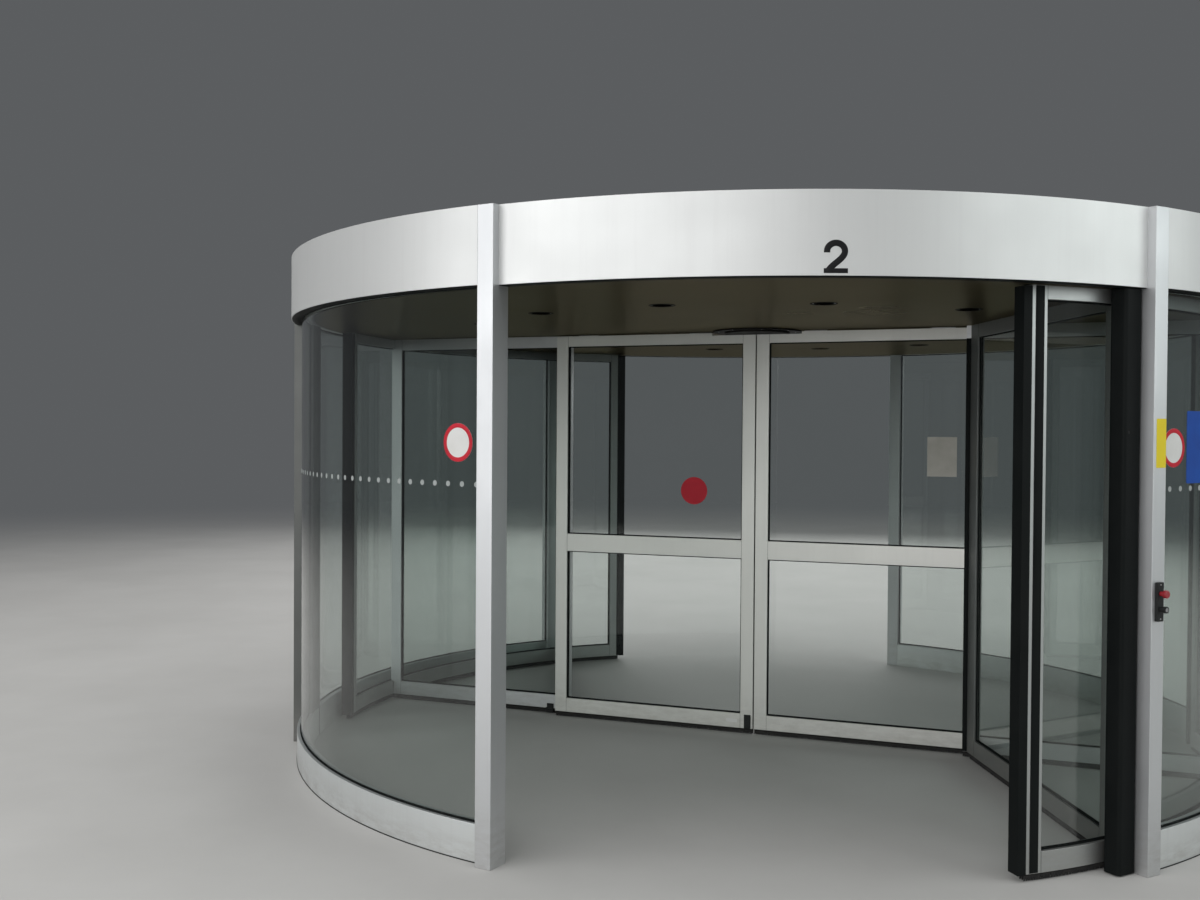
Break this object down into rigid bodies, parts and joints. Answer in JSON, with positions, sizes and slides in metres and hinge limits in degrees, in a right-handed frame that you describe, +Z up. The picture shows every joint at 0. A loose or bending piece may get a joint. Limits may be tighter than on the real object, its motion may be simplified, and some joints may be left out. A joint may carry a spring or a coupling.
{
  "type": "automatic revolving door",
  "caption": "Large automatic revolving door: round glass drum with canopy, and a rotor with glazed display bays and a sliding door across its middle.",
  "frame": {"origin": "centre of the drum on the floor", "axes": "+Z up; -Y towards the entrance that the picture shows; +X to the right as seen from there"},
  "size_m": [4.92, 4.8556, 2.5],
  "materials": {
    "silver_aluminium": "satin anodised",
    "clear_glass": "clear, faint green tint",
    "black_rubber": "matt black",
    "dark_ceiling": "glossy dark panel",
    "steel": "bare",
    "canopy_sheet": "matt grey",
    "black_plastic": "matt",
    "red_plastic": "satin"
  },
  "bodies": {
    "drum": {"bearing_beam": "steel", "button_plate": "black_plastic", "canopy_ring": "canopy_sheet", "front_fascia": "silver_aluminium", "front_left_fascia": "silver_aluminium", "front_left_glass": "clear_glass", "front_left_kerb": "silver_aluminium", "front_left_post": "silver_aluminium", "front_right_fascia": "silver_aluminium", "front_right_glass": "clear_glass", "front_right_kerb": "silver_aluminium", "front_right_post": "silver_aluminium", "key_switch": "black_plastic", "left_wall_post": "silver_aluminium", "rear_fascia": "silver_aluminium", "rear_left_fascia": "silver_aluminium", "rear_left_glass": "clear_glass", "rear_left_kerb": "silver_aluminium", "rear_left_post": "silver_aluminium", "rear_right_fascia": "silver_aluminium", "rear_right_glass": "clear_glass", "rear_right_kerb": "silver_aluminium", "rear_right_post": "silver_aluminium", "right_wall_post": "silver_aluminium", "roof_cover": "canopy_sheet", "safety_edges": "black_rubber", "stop_button": "red_plastic"},
    "rotor": {"rotor_ceiling": "dark_ceiling", "rotor_spindle": "steel", "centre_cover": "dark_ceiling", "leaf_tracks": "steel", "left_panel_frame": "silver_aluminium", "left_bay_wall_frame": "silver_aluminium", "left_bay_panes": "clear_glass", "left_curved_frame": "silver_aluminium", "left_curved_glass": "clear_glass", "left_soft_edges": "black_rubber", "right_panel_frame": "silver_aluminium", "right_bay_wall_frame": "silver_aluminium", "right_bay_panes": "clear_glass", "right_curved_frame": "silver_aluminium", "right_curved_glass": "clear_glass", "right_soft_edges": "black_rubber"},
    "left_leaf": {"left_leaf_frame": "silver_aluminium", "left_leaf_glass": "clear_glass", "left_leaf_carriage": "steel"},
    "right_leaf": {"right_leaf_frame": "silver_aluminium", "right_leaf_glass": "clear_glass", "right_leaf_carriage": "steel"}
  },
  "joints": [
    {"name": "rotor_turn", "type": "hinge", "parent": "drum", "child": "rotor", "pos_m": [0, 0, 0], "axis": [0, 0, 1], "continuous": true},
    {"name": "left_leaf_slide", "type": "slide", "parent": "rotor", "child": "left_leaf", "axis": [-0.9397, 0.342, 0], "range_m": [0, 1.05]},
    {"name": "right_leaf_slide", "type": "slide", "parent": "rotor", "child": "right_leaf", "axis": [0.9397, -0.342, 0], "range_m": [0, 1.05]}
  ],
  "couplings": [
    {"joint": "right_leaf_slide", "follows": "left_leaf_slide", "ratio": 1}
  ]
}
